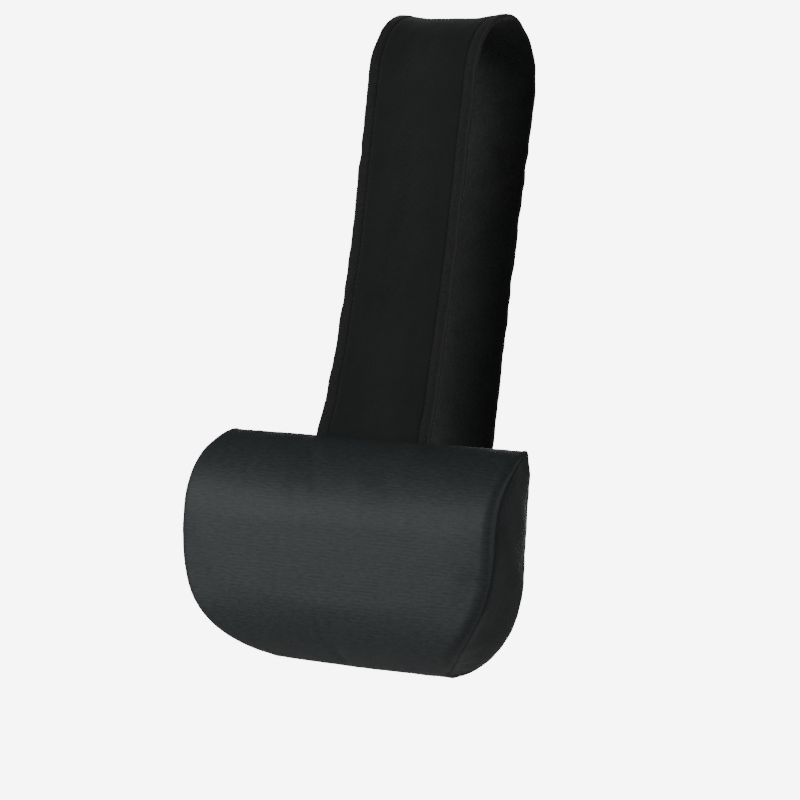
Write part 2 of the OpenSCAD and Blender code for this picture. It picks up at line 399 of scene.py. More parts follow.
class Paint:
    """A node material in a few lines."""

    def __init__(self, name):
        self.material = bpy.data.materials.new(name)
        self.material.use_nodes = True
        self.tree = self.material.node_tree
        self.tree.nodes.clear()
        self.out = self.tree.nodes.new("ShaderNodeOutputMaterial")
        self.bsdf = self.tree.nodes.new("ShaderNodeBsdfPrincipled")
        self.tree.links.new(self.bsdf.outputs[0], self.out.inputs[0])
        self.place = self.add("TexCoord", output=3)

    def put(self, socket, value):
        if isinstance(value, bpy.types.NodeSocket):
            self.tree.links.new(value, socket)
        else:
            socket.default_value = (*value, 1.0) if socket.type == "RGBA" else value

    def add(self, kind, inputs=None, output=0, **settings):
        node = self.tree.nodes.new("ShaderNode" + kind)
        for key, value in settings.items():
            setattr(node, key, value)
        for key, value in (inputs or {}).items():
            self.put(node.inputs[key], value)
        return node.outputs[output]

    def set(self, **inputs):
        for key, value in inputs.items():
            self.put(self.bsdf.inputs[key.replace("_", " ")], value)

    def math(self, operation, a, b=0.0, clamp=False):
        return self.add("Math", {0: a, 1: b}, operation=operation, use_clamp=clamp)

    def plus(self, a, b, clamp=False):
        return self.math("ADD", a, b, clamp)

    def times(self, a, b):
        return self.math("MULTIPLY", a, b)

    def ramp(self, value, lo, hi, out_lo=0.0, out_hi=1.0):
        return self.add("MapRange", {0: value, 1: lo, 2: hi, 3: out_lo, 4: out_hi})

    def mix(self, factor, a, b):
        return self.add("Mix", {0: factor, 6: a, 7: b}, 2, data_type="RGBA")

    def noise(self, vector, scale, detail=3.0, roughness=0.55):
        inputs = {"Vector": vector, "Scale": scale, "Detail": detail, "Roughness": roughness}
        return self.add("TexNoise", inputs)

    def streaks(self, vector, scales, detail, roughness):
        """Noise stretched along one coordinate."""
        return self.noise(self.scaled(vector, scales), 1.0, detail, roughness)

    def scaled(self, vector, scales):
        return self.add("VectorMath", {0: vector, 1: scales}, operation="MULTIPLY")

    def split(self, vector):
        """The first two coordinates."""
        return self.add("SeparateXYZ", {0: vector}).node.outputs[:2]

    def bump(self, height, distance, strength):
        return self.add("Bump", {"Height": height, "Distance": distance, "Strength": strength})


def velour(name, dark, light, sheen=0.25, fuzz=0.00035, rim=None):
    """Short pile that lies in soft light and dark patches; on a strap, painted shade darkens it away from its
    middle and further down, and its rims are painted lighter, with a painted highlight along the beads.
    """
    m = Paint(name)
    patches = m.noise(m.place, 26.0, 4.0, 0.6)
    fine = m.noise(m.place, 420.0, 3.0, 0.6)
    grain = m.noise(m.place, 1500.0, 2.0, 0.5)
    tone = m.plus(m.ramp(patches, 0.3, 0.7, -0.25, 0.25), m.ramp(fine, 0.3, 0.7, -0.3, 0.3))
    tone = m.plus(tone, m.ramp(grain, 0.2, 0.8, 0.1, 0.9), clamp=True)
    color = m.mix(tone, dark, light)
    if rim:
        uv = m.add("UVMap", uv_map="UVMap")
        out, down = (m.math("ABSOLUTE", way) for way in m.split(uv))
        streak = m.streaks(uv, (26.0, 5.0, 1.0), 3.0, 0.5)
        color = m.mix(m.ramp(streak, 0.35, 0.7, 0.0, 0.45), color, light)
        # painted shade: darker towards the stitched lines, which leaves a painted highlight down the middle, and
        # darker lower down
        shade = m.plus(m.ramp(out, 0.010, 0.040, 0.0, 0.40), m.ramp(down, 0.20, 0.40, 0.0, 0.30))
        color = m.mix(shade, color, dark)
        # the rims are painted lighter in the rim colour: a mottled band outside each stitched groove, and a
        # painted highlight along the beads
        rim_band = m.ramp(out, GROOVE_AT * MM, (GROOVE_AT + 2) * MM, 0.0, 0.34)
        rim_band = m.times(rim_band, m.ramp(fine, 0.3, 0.7, 0.0, 1.0))
        bead_highlight = m.ramp(out, (BEAD_AT - 2) * MM, BEAD_AT * MM, 0.0, 0.95)
        color = m.mix(m.math("MAXIMUM", rim_band, bead_highlight), color, rim)
    height = m.plus(m.times(grain, 0.5), fine)
    m.set(Base_Color=color, Roughness=0.92, Specular_IOR_Level=0.18)
    m.set(Sheen_Weight=sheen, Sheen_Roughness=0.45, Sheen_Tint=(0.92, 0.96, 0.95))
    m.set(Normal=m.bump(height, fuzz, 0.8))
    return m.material


def ribbed_knit(name, dark, light):
    """Knit with fine raised cords that run across, broken into uneven dashes."""
    m = Paint(name)
    uv = m.add("UVMap", uv_map="UVMap")
    drift = m.ramp(m.noise(uv, 34.0, 2.0), 0.0, 1.0, -2.4, 2.4)
    rib = m.math("SINE", m.plus(m.times(m.split(uv)[1], 2 * math.pi / RIB_PITCH), drift))
    dash = m.streaks(uv, (140.0, 460.0, 1.0), 2.0, 0.6)
    loop = m.streaks(uv, (420.0, 900.0, 1.0), 2.0, 0.6)
    cloud = m.noise(m.place, 17.0, 3.0, 0.5)
    tone = m.plus(m.ramp(rib, -1.0, 1.0, 0.40, 0.54), m.ramp(dash, 0.3, 0.7, -0.36, 0.36))
    tone = m.plus(tone, m.ramp(cloud, 0.3, 0.7, -0.05, 0.07))
    tone = m.plus(tone, m.ramp(loop, 0.25, 0.75, -0.22, 0.22), clamp=True)
    m.set(Base_Color=m.mix(tone, dark, light), Roughness=0.68, Specular_IOR_Level=0.30)
    m.set(Specular_Tint=(0.93, 0.99, 1.0))
    height = m.plus(m.ramp(rib, -1.0, 1.0, 0.0, 0.22), m.times(dash, 1.3))
    height = m.plus(height, m.times(loop, 0.5))
    m.set(Normal=m.bump(height, 0.00017, 0.8))
    return m.material


def plain_weave(name, dark, light, pitch, bump=0.0003, roughness=0.85, sheen=0.1):
    """Threads over and under, pitch apart in metres."""
    m = Paint(name)
    uv = m.add("UVMap", uv_map="UVMap")
    threads = [m.math("SINE", m.times(way, math.pi / pitch)) for way in m.split(uv)]
    weave = m.ramp(m.times(*threads), -1.0, 1.0)
    fine = m.noise(uv, 900.0, 3.0)
    cloud = m.noise(m.place, 40.0)
    wear = m.times(m.plus(fine, cloud), 0.3)
    tone = m.plus(m.times(weave, 0.6), wear, clamp=True)
    m.set(Base_Color=m.mix(tone, dark, light), Roughness=roughness, Specular_IOR_Level=0.25)
    m.set(Sheen_Weight=sheen, Normal=m.bump(m.plus(weave, m.times(fine, 0.5)), bump, 0.7))
    return m.material


def open_foam(name):
    m = Paint(name)
    cells = m.add("TexVoronoi", {"Vector": m.place, "Scale": 900.0}, feature="F1")
    cloud = m.noise(m.place, 30.0)
    color = m.mix(cloud, (0.80, 0.70, 0.45), (0.90, 0.83, 0.62))
    m.set(Base_Color=m.mix(m.ramp(cells, 0.0, 0.6), (0.62, 0.52, 0.33), color), Roughness=0.95)
    m.set(Subsurface_Weight=0.1, Subsurface_Radius=(0.002, 0.001, 0.0006))
    m.set(Normal=m.bump(cells, 0.0006, 0.6))
    return m.material


def enamel(name, color, roughness=0.35, metallic=0.0, wear=0.25):
    """Painted or moulded hard part with faint scuffs."""
    m = Paint(name)
    scuff = m.noise(m.place, 260.0, 5.0, 0.65)
    cloud = m.noise(m.place, 1200.0, 2.0)
    light = tuple(min(1.0, c * 2.2 + 0.02) for c in color)
    m.set(Base_Color=m.mix(m.ramp(scuff, 0.58, 0.75, 0.0, wear), color, light), Metallic=metallic)
    m.set(Roughness=m.ramp(cloud, 0.3, 0.7, roughness - 0.07, roughness + 0.12))
    m.set(Normal=m.bump(scuff, 0.00008, 0.4))
    return m.material


def nap_strip(name, color, scale, depth):
    """Dense nylon hooks or loops."""
    m = Paint(name)
    cells = m.add("TexVoronoi", {"Vector": m.place, "Scale": scale}, feature="F1")
    fuzz = m.noise(m.place, scale * 1.7, 3.0)
    tips = m.math("SUBTRACT", 1.0, m.ramp(cells, 0.0, 0.7))
    light = tuple(c * 2.6 + 0.01 for c in color)
    m.set(Base_Color=m.mix(tips, color, light), Roughness=0.6, Sheen_Weight=0.15)
    m.set(Normal=m.bump(m.plus(tips, m.times(fuzz, 0.5)), depth, 0.9))
    return m.material


def shot_grain(name):
    m = Paint(name)
    cells = m.add("TexVoronoi", {"Vector": m.place, "Scale": 420.0}, feature="SMOOTH_F1")
    tone = m.noise(m.place, 420.0, 1.0)
    m.set(Base_Color=m.mix(tone, (0.20, 0.20, 0.21), (0.42, 0.42, 0.44)), Metallic=0.9, Roughness=0.42)
    m.set(Normal=m.bump(m.math("SUBTRACT", 1.0, cells), 0.0012, 1.0))
    return m.material


FACE_KNIT = ribbed_knit("FaceKnit", (0.0066, 0.0080, 0.0082), (0.0180, 0.0213, 0.0218))
# the rim colour is painted onto the strap's rims, as a lighter band and a painted highlight along the beads
STRAP_VELOUR = velour("StrapVelour", (0.0029, 0.0037, 0.0034), (0.0084, 0.0099, 0.0092), 0.06,
                      rim=(0.0165, 0.017, 0.0152))
END_VELOUR = velour("EndVelour", (0.0068, 0.0076, 0.0079), (0.0178, 0.0196, 0.0204), 0.10)
BACK_VELOUR = velour("BackVelour", (0.006, 0.0065, 0.0065), (0.016, 0.017, 0.0168), 0.12)
GRIP_VELOUR = velour("GripVelour", (0.008, 0.0085, 0.0085), (0.020, 0.021, 0.021), 0.10)
THREAD = plain_weave("Thread", (0.006, 0.0065, 0.0065), (0.022, 0.023, 0.023), 0.0004, 0.0001)
FELT = velour("Interlining", (0.07, 0.07, 0.075), (0.13, 0.13, 0.14), 0.1)
FOAM = open_foam("ViscoFoam")
TRICOT = plain_weave("LinerTricot", (0.62, 0.62, 0.60), (0.84, 0.84, 0.82), 0.0009)
SATIN = plain_weave("LabelSatin", (0.66, 0.66, 0.64), (0.84, 0.84, 0.82), 0.0003, 0.00005, 0.5, 0.3)
TAPE = plain_weave("ZipTape", (0.012, 0.012, 0.013), (0.032, 0.032, 0.034), 0.0008)
NYLON = enamel("CoilNylon", (0.014, 0.014, 0.016), 0.4)
ENAMEL = enamel("ZipEnamel", (0.028, 0.028, 0.031), 0.3, 0.35)
COTTON = plain_weave("BagCotton", (0.20, 0.20, 0.21), (0.36, 0.36, 0.37), 0.0007)
LOOPS = nap_strip("LoopNap", (0.012, 0.012, 0.013), 1500.0, 0.0005)
HOOKS = nap_strip("HookNap", (0.014, 0.014, 0.015), 900.0, 0.0007)
SHOT = shot_grain("SteelShot")

SLOT_MATERIAL = {
    "velour": BACK_VELOUR, "ribbed_knit": FACE_KNIT, "interlining": FELT, "foam": FOAM, "liner": TRICOT,
    "label": SATIN, "zip_tape": TAPE, "zip_coil": NYLON, "zip_metal": ENAMEL, "bag_cotton": COTTON,
    "steel_shot": SHOT, "loop_strip": LOOPS, "hook_strip": HOOKS,
}
for subpart in frame["record"]["subparts"]:
    data = frame["nodes"][subpart["node"]].data
    data.materials.clear()
    data.materials.append(SLOT_MATERIAL[subpart["material_slot"]])


def finish_piece(obj, body, nodes=()):
    """Hides the CAD nodes that a piece replaces and parents the piece to its body's empty; a bend given in place
    of a body is not used, and the piece only has its transform baked.
    """
    if nodes:
        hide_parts(*nodes)
    if isinstance(body, str):
        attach(obj, body)
    else:
        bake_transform(obj)
    return obj


# ---- Cushion: the rows and sections that all its panels share -----------------------------------

ROWS = 149
FLAT_COLS, ARC_COLS, SIDE_COLS = 56, 8, 6
END_COLS, BACK_EDGE_COLS = 26, 4
BACK_EDGE_R = 4.0
# Depth and width of the groove along a seam
DIP, DIP_W = 0.6, 1.6
# The face bulges this far over the strap's end, where it is sewn into the top seam
STRAP_LUMP = 5.0
# Where that bulge ends beside the strap, and over what width
LUMP_MARGIN, LUMP_FADE = 9.0, 12.0
# Rise of the face's middle over its sides
CROWN = 2.4
# The side seam lies this much further back than the face's rounded edge
SEAM_BEHIND = 3.5


def profile_rows(count):
    """Shares of the height, closer together where the face rounds off."""
    t = np.linspace(0, 1, 4001)
    t = (1 - np.cos(math.pi * t)) / 2
    d = face_depth(t)
    s = np.concatenate([[0], np.cumsum(np.hypot(np.diff(d), CUSHION_H * np.diff(t)))])
    return np.interp(crowd(np.linspace(0, 1, count), 0.12) * s[-1], s, t)


def edge_drop(depth):
    """How far the side seam lies behind the face, where the face is this deep."""
    full = EDGE_R + SEAM_BEHIND
    return full * np.tanh(0.55 * depth / full)


def body_rows(inset):
    """Height, depth, half-width and seam depth of each row of the cushion, drawn in by inset."""
    t = profile_rows(ROWS)
    z = -CUSHION_H * t
    depth = np.maximum(face_depth(t), 1.5)
    half = front_half(z)
    seam = depth - edge_drop(depth)
    shrink = (CUSHION_H / 2 - inset) / (CUSHION_H / 2)
    z = (z + CUSHION_H / 2) * shrink - CUSHION_H / 2
    return z, np.maximum(depth - inset, 1.0), half - inset, np.maximum(seam - inset, 0.5)


def wall_depths(depth, seam, ry, flat, arc, side):
    """Depths across a front that is flat for so many columns, rounds off and falls to its seam."""
    edge, ry = (depth - ry)[:, None], ry[:, None]
    fall = edge + (seam[:, None] - edge) * side
    return np.concatenate([wide(depth, flat), edge + ry * np.cos(arc), fall], 1)


def face_half(z, depth, half, seam):
    """Right half of the face panel: from the middle to the side seam."""
    drop = depth - seam
    slope = np.clip(np.gradient(half, z), 0, 2.2)
    rx = np.minimum(EDGE_R * np.sqrt(1 + slope**2), 0.3 * half)
    ry = 0.72 * drop
    flat = (half - rx)[:, None] * (np.linspace(0, 1, FLAT_COLS + 1) ** 0.97)[None]
    a = np.linspace(0, math.pi / 2, ARC_COLS + 1)[1:]
    arc_x = (half - rx)[:, None] + rx[:, None] * np.sin(a)
    x = np.concatenate([flat, arc_x, wide(half, SIDE_COLS)], 1)
    d = wall_depths(depth, seam, ry, FLAT_COLS + 1, a, np.linspace(0, 1, SIDE_COLS + 1)[1:])
    return np.stack([x, -d, wide(z, x.shape[1])], -1)


def mirror(p):
    return p * np.array([-1.0, 1.0, 1.0])


def whole(half_grid):
    """Left and right of a half grid that starts in the middle."""
    return np.concatenate([mirror(half_grid[:, :0:-1]), half_grid], 1)


def end_grid(z, half, seam):
    """Right end panel: from the side seam to the back edge, which is rounded."""
    r = BACK_EDGE_R * np.tanh(0.7 * seam / BACK_EDGE_R)
    back = np.maximum(half, back_half(z))
    share = crowd(np.linspace(0, 1, END_COLS + 1), 0.40)
    d = seam[:, None] + (r - seam)[:, None] * share
    a = np.linspace(0, math.pi / 2, BACK_EDGE_COLS + 1)[1:]
    out = half[:, None] + (back - half)[:, None] * smooth_step(share)
    x = np.concatenate([out, back[:, None] - BACK_EDGE_R * (1 - np.cos(a))], 1)
    d = np.concatenate([d, r[:, None] * (1 - np.sin(a))], 1)
    return np.stack([x, -d, wide(z, x.shape[1])], -1)


def over_strap(x):
    """1 where the strap's end is sewn into the top seam, 0 beside it."""
    return smooth_step((STRAP_HALF + LUMP_MARGIN - np.abs(x)) / LUMP_FADE)


def strap_room(p):
    """Moves the top of the face forward where the strap's end lies behind it."""
    near = bell(np.minimum(p[..., 2], 0), 16.0) * bell(np.minimum(-p[..., 1], 60), 26)
    q = p.copy()
    q[..., 1] -= STRAP_LUMP * over_strap(p[..., 0]) * near
    return q


SIM_FRAMES, SIM_PRESSURE, SIM_SHRINK = 20, 3.5, -0.008
# No point moves further than this in the simulation
SIM_REACH = 5.0
# Share of the simulated movement that the panels keep
FACE_SHARE, END_SHARE = 0.45, 0.6


def simulate(panels, pins):
    """Fills the sewn panels with pressure and returns how far each point moved, in millimetres."""
    index, verts, faces, where = {}, [], [], []
    for p, flip in panels:
        ids = weld(p, index, verts, 3)
        faces += [tuple(map(int, f[::-1] if flip else f)) for f in corners(ids).reshape(-1, 4)]
        where.append(ids)
    rest = np.array(verts)
    mesh = bpy.data.meshes.new("puff")
    mesh.from_pydata((rest * MM).tolist(), [], faces)
    obj = new_object("puff", mesh)
    held = set()
    for ids, pin in zip(where, pins):
        held |= set(ids[pin].ravel().tolist())
    group = obj.vertex_groups.new(name="held")
    group.add(sorted(held), 1.0, "REPLACE")
    cloth = obj.modifiers.new("Cloth", "CLOTH")
    s = cloth.settings
    s.quality, s.mass = 6, 0.25
    s.tension_stiffness, s.compression_stiffness, s.shear_stiffness, s.bending_stiffness = 12, 12, 6, 0.35
    s.use_pressure, s.uniform_pressure_force = True, SIM_PRESSURE
    s.vertex_group_mass = "held"
    s.shrink_min = SIM_SHRINK
    s.effector_weights.gravity = 0
    cloth.point_cache.frame_start, cloth.point_cache.frame_end = 1, SIM_FRAMES
    scene = bpy.context.scene
    for f in range(1, SIM_FRAMES + 1):
        scene.frame_set(f)
    done = obj.evaluated_get(bpy.context.evaluated_depsgraph_get()).to_mesh()
    co = np.zeros(len(rest) * 3, np.float32)
    done.vertices.foreach_get("co", co)
    moved = co.reshape(-1, 3) / MM - rest
    scene.frame_set(1)
    bpy.data.objects.remove(obj)
    length = np.linalg.norm(moved, axis=1, keepdims=True)
    moved *= np.minimum(1, SIM_REACH / np.maximum(length, 1e-9))
    return [moved[ids] for ids in where]


def spread(coarse, rows, cols, shape):
    """A grid known at some rows and columns, smoothly filled in at all of them."""

    def fill(grid, known, count):
        return resample(np.arange(count), known, grid.reshape(len(known), -1)).reshape(count, -1, 3)

    by_column = fill(coarse, rows, shape[0]).transpose(1, 0, 2)
    return blur(fill(by_column, cols, shape[1]).transpose(1, 0, 2), 3)


def seam_dip(d, depth=DIP, width=DIP_W):
    """Pull of a plain seam at distance d: a groove with a faint ridge beside it."""
    return -depth * bell(d, width) + 0.16 * depth * bell(d - 4.5, 2.8)


def corner_ease(a, b, reach=7.0):
    """Share of a seam's pull that is left where two seams meet."""
    return 0.25 + 0.75 * smooth_step(np.hypot(a, b) / reach)


def puckers(d, s, seed, size=6.5, depth=0.45, reach=8.0):
    """Small gathers square to a seam; d is the distance from it and s the distance along it."""
    wave = ripples(s, d * 0.15, size, seed) * (0.6 + 0.4 * ripples(s, 0 * s, 60, seed + 1))
    return depth * wave * np.exp(-d / reach) * (1 - bell(d, 1.2))


z_rows, depth_rows, half_rows, seam_rows = body_rows(0.0)
face = whole(face_half(z_rows, depth_rows, half_rows, seam_rows))
end_right = end_grid(z_rows, half_rows, seam_rows)
MID = FLAT_COLS + ARC_COLS + SIDE_COLS

rows_c = np.arange(0, ROWS, 2)
half_c = np.r_[np.arange(0, FLAT_COLS, 2), np.arange(FLAT_COLS, FLAT_COLS + ARC_COLS + 1, 2), MID]
cols_c = np.r_[MID - half_c[:0:-1], MID + half_c]
ends_c = np.r_[np.arange(0, END_COLS, 2), END_COLS, END_COLS + BACK_EDGE_COLS]
end_coarse = end_right[rows_c][:, ends_c]
parts = [(face[rows_c][:, cols_c], False), (end_coarse, False), (mirror(end_coarse), True)]
pins = []
for p, _ in parts:
    pin = np.zeros(p.shape[:2], bool)
    pin[0], pin[-1], pin[:, 0], pin[:, -1] = True, True, True, True
    pins.append(pin)
face_move, right_move, left_move = simulate(parts, pins)
face = face + FACE_SHARE * spread(face_move, rows_c, cols_c, face.shape)
end_left = mirror(end_right) + END_SHARE * spread(left_move, rows_c, ends_c, end_right.shape)
end_right = end_right + END_SHARE * spread(right_move, rows_c, ends_c, end_right.shape)

# Slight sag and unevenness of the filling, then the seams
face_n = grid_normals(face)
across, down = along(face, 1), along(face, 0)
to_side = np.minimum(across, across[:, -1:] - across)
to_top, to_bottom = down, down[-1:] - down
to_rim = np.minimum(to_top, to_bottom)
middle = smooth_step(to_side / 40) * smooth_step(to_rim / 40)
crown = CROWN * (1 - (2 * across / across[:, -1:] - 1) ** 2) * np.sin(math.pi * down / down[-1:]) ** 2
lift = crown + 0.35 * ripples(across, down, 120, 11) * middle + 0.12 * ripples(across, down, 34, 12) * middle
lift += np.minimum(seam_dip(to_side), seam_dip(to_rim, 1.2)) * corner_ease(to_side, to_top)
lift += puckers(to_side, down, 13, depth=0.32) * smooth_step(to_top / 14)
lift += puckers(to_top, across, 14, 9.0, 0.5) * smooth_step(to_side / 14)
lift += puckers(to_bottom, across, 15, 9.0, 0.4) * smooth_step(to_side / 14)
face = strap_room(face + face_n * lift[..., None])
face_uv = np.stack([across - across[:, MID:MID + 1], wide(-down[:, MID], face.shape[1])], -1)


def dress_end(grid, flip, seed):
    n = grid_normals(grid, flip)
    over, run = along(grid, 1), along(grid, 0)
    far = over[:, -1:] - over
    lift = seam_dip(over) + puckers(over, run, seed, depth=0.3)
    lift += seam_dip(far, 0.8) + puckers(far, run, seed + 3, 8.0, 0.3)
    lift += 0.5 * ripples(over, run, 50, seed + 5) * smooth_step(over / 18) * smooth_step(far / 14)
    lift *= smooth_step(over[:, -1:] / 16)
    return grid + n * lift[..., None], np.stack([over, -run], -1)


end_right, right_uv = dress_end(end_right, False, 21)
end_left, left_uv = dress_end(end_left, True, 31)
# the face and the end panels are sewn together edge to edge
for end, column in ((end_right, -1), (end_left, 0)):
    end[:, 0] = face[:, column] = (end[:, 0] + face[:, column]) / 2


def cushion_piece(name, parts, material, nodes):
    verts, faces, uv = parts
    obj = make_piece(name, from_cushion(verts), faces, uv, material)
    return finish_piece(obj, "cushion", nodes)


# the panels thin out towards the points where all the seams meet
FACE_T = COVER_T * (0.04 + 0.96 * smooth_step(np.hypot(to_side, to_rim) / 12))
END_T = np.minimum(COVER_T, 0.12 * seam_rows)[:, None]
cushion_piece("FacePanel", sheet_mesh(face, FACE_T, face_uv), FACE_KNIT,
              ["cover_face_panel"])
for tag, end, uv, flip in (("Right", end_right, right_uv, False), ("Left", end_left, left_uv, True)):
    cushion_piece("EndPanel" + tag, sheet_mesh(end, END_T, uv, flip), END_VELOUR,
                  ["cover_end_panel_" + tag.lower()])


# Back panels: flat where they lie on the chair, cut away for the zip
BACK_COLS = 97
# Half the height of the opening that shows the zip, and how far it reaches past the coils
SLOT_HALF_H = 4.0
SLOT_OVER, SLOT_TAPER = 8.0, 6.0
# Distance of the topstitch from the edges along the zip
ZIP_STITCH_AT = 5.0


def sew(edge, line, axis, share=1.0):
    """Brings the points of an edge onto another panel's edge, matched along one axis."""
    line = line[np.argsort(line[:, axis])]
    target = resample(edge[:, axis], line[:, axis], line)
    return edge + (target - edge) * np.reshape(share, (-1, 1))


def back_panel(z_from, z_to, count, slot_low, seed):
    """Grid of a back panel; slot_low is +1 if the zip is along its lower edge, -1 if its upper."""
    z = z_from + (z_to - z_from) * crowd(np.linspace(0, 1, count), 0.24)
    u = np.linspace(-1, 1, BACK_COLS)
    u = u + 0.16 * np.sin(math.pi * u) / math.pi
    half = back_half(z) - BACK_EDGE_R * 0.98
    x = half[:, None] * u[None]
    zz = wide(z, BACK_COLS)
    # the edge along the zip opens to let the coils show
    gap = SLOT_HALF_H * smooth_step((ZIP_HALF + SLOT_OVER - np.abs(x)) / SLOT_TAPER)
    near = np.linspace(0, 1, count)[:, None] if slot_low > 0 else np.linspace(1, 0, count)[:, None]
    zz = zz + slot_low * gap * near**2
    side = half[:, None] - np.abs(x)
    zip_d = np.abs(zz - (zz[-1:] if slot_low > 0 else zz[:1]))
    other_d = np.abs(zz - (zz[:1] if slot_low > 0 else zz[-1:]))
    lift = np.minimum(seam_dip(side, 0.8), seam_dip(other_d, 0.7))
    lift += puckers(side, zz, seed, 8.0, 0.25) + puckers(other_d, x, seed + 1, 9.0, 0.25)
    lift += -0.5 * bell(zip_d - ZIP_STITCH_AT, 1.0) + 0.25 * bell(zip_d, 3.0)
    lift += 0.25 * ripples(x, zz, 60, seed + 2) - 0.15
    p = np.stack([x, lift, zz], -1)
    # sewn to the face panel above or below, clear of the strap's end, and to the end panels at the sides
    far, face_edge = (0, face[0]) if slot_low > 0 else (-1, face[-1])
    clear = 1 - over_strap(p[far, :, 0]) if slot_low > 0 else 1.0
    p[far] = sew(p[far], face_edge, 0, clear)
    p[:, 0], p[:, -1] = sew(p[:, 0], end_left[:, -1], 2), sew(p[:, -1], end_right[:, -1], 2)
    thickness = COVER_T * (0.35 + 0.65 * smooth_step(other_d / 6))
    return p, np.stack([x, zz], -1), thickness


upper, upper_uv, upper_t = back_panel(-0.6, ZIP_Z + 0.15, 73, 1, 41)
lower, lower_uv, lower_t = back_panel(ZIP_Z - 0.15, -CUSHION_H + 0.8, 33, -1, 45)
for tag, panel, thickness, uv in (("Upper", upper, upper_t, upper_uv), ("Lower", lower, lower_t, lower_uv)):
    cushion_piece("BackPanel" + tag, sheet_mesh(panel, thickness, uv, True), BACK_VELOUR,
                  ["cover_back_panel_" + tag.lower()])


# ---- Threads ------------------------------------------------------------------------------------

STITCH, GAP, THREAD_R = 3.0, 1.0, 0.24


def stitches(path, normal, seed, sink=0.12):
    """Row of stitches on a line of points: short capsules that dip into the cloth at both ends."""
    path, normal = np.asarray(path, float), np.asarray(normal, float)
    s = lengths(path)
    rng = np.random.default_rng(seed)
    count = int(s[-1] / (STITCH + GAP))
    sides, steps = 6, np.array([0.0, 0.12, 0.5, 0.88, 1.0])
    parts = []
    for k in range(count):
        a = (k + 0.5) * s[-1] / count
        at = a + (steps - 0.5) * STITCH * rng.uniform(0.94, 1.04)
        c, n = resample(at, s, path), unit(resample(at, s, normal))
        b = np.cross(unit(np.gradient(c, axis=0)), n)
        c = c + n * (np.array([-0.35, 0.05, 0.16, 0.05, -0.35])[:, None] - sink)
        r = THREAD_R * np.array([0.55, 0.95, 1.0, 0.95, 0.55])
        g = np.linspace(0, 2 * math.pi, sides, endpoint=False)
        ring = c[:, None] + r[:, None, None] * (
            np.cos(g)[None, :, None] * n[:, None] + np.sin(g)[None, :, None] * b[:, None]
        )
        uv = np.stack(np.meshgrid(g * THREAD_R, at), -1)
        parts.append(tube_mesh(ring, uv))
    return join(*parts)


def thread_piece(name, rows, body):
    verts, faces, uv = join(*rows)
    return finish_piece(make_piece(name, verts, faces, uv, THREAD, 80.0), body)


def zip_stitches():
    rows = []
    for grid, edge, seed in ((upper, -1, 51), (lower, 0, 52)):
        x = np.linspace(-ZIP_HALF - 4, ZIP_HALF + 4, 200)
        edge_z = np.interp(x, grid[edge, :, 0], grid[edge, :, 2])
        z = edge_z + (ZIP_STITCH_AT if edge < 0 else -ZIP_STITCH_AT)
        column = np.interp(x, grid[edge, :, 0], np.arange(BACK_COLS))
        lines = [grid[:, int(c)] + (grid[:, int(c) + 1] - grid[:, int(c)]) * (c % 1) for c in column]
        y = np.array([np.interp(zi, line[::-1, 2], line[::-1, 1]) for zi, line in zip(z, lines)])
        p = from_cushion(np.stack([x, y, z], -1))
        n = np.tile(np.array([0, math.cos(TILT), math.sin(TILT)]), (len(x), 1))
        rows.append(stitches(p, n, seed))
    return rows


thread_piece("ZipTopstitch", zip_stitches(), "cushion")


# ---- Strap --------------------------------------------------------------------------------------

PLY_T, INTERLINING_T = 1.2, 1.6
STRAP_T = 2 * PLY_T + INTERLINING_T
# The straight runs bow in by this much halfway down, in front and behind
FRONT_BOW, REAR_BOW = 5.0, 1.5
# The front run's left rim spreads by this much at the cushion
STRAP_FLARE = 4.0
# The rims rise by this much at the crest, over a length of about twice CURL_REACH
CREST_CURL, CURL_REACH = 4.0, 62.0
# The strap moves outwards by this much over its last stretch, to enter its seam
TUCK, TUCK_FROM = 4.6, 34.0
# The strap's end lies this far inside its seam
SEAM_OVERLAP = 2.6
PATH_STEP = 2.6


def strap_path(side):
    """Inner face of the strap, from the crest's middle down one side: points (y, z) and lengths."""
    drop = FRONT_DROP if side < 0 else REAR_DROP
    end = drop + SEAM_OVERLAP
    a = np.linspace(0, math.pi / 2, 60)
    arc = np.stack([SADDLE_R * np.sin(a), SADDLE_R * (np.cos(a) - 1)], -1)
    z = np.linspace(-SADDLE_R - 0.5, -end, 700)
    t = (-z - SADDLE_R) / (drop - SADDLE_R)
    bow = FRONT_BOW if side < 0 else REAR_BOW
    y = SADDLE_R - bow * np.sin(math.pi * np.clip(t, 0, 1)) ** 2
    y = y + TUCK * smooth_step((-z - drop + TUCK_FROM) / TUCK_FROM)
    run = np.stack([y, z], -1)
    p = np.concatenate([arc, run])
    s = lengths(p)
    at = np.linspace(0, s[-1], int(s[-1] / PATH_STEP) + 1)
    p = resample(at, s, p)
    p[:, 0] *= side
    return p, at


def path_normals(p, side):
    t = unit(np.gradient(p, axis=0))
    return side * np.stack([-t[:, 1], t[:, 0]], -1)


def outer_height(u):
    """Height of the outer ply's face over the strap's inner face, at u across."""
    a = np.abs(u)
    h = STRAP_T - 0.2 + 0.25 * np.cos(np.clip(a / GROOVE_AT, 0, 1) * math.pi / 2)
    h = h - 0.95 * bell(a - GROOVE_AT, 1.3)
    h = h + 0.45 * bell(a - GROOVE_AT - 5.5, 3.4)
    return h + 0.55 * bell(a - BEAD_AT, 1.3)


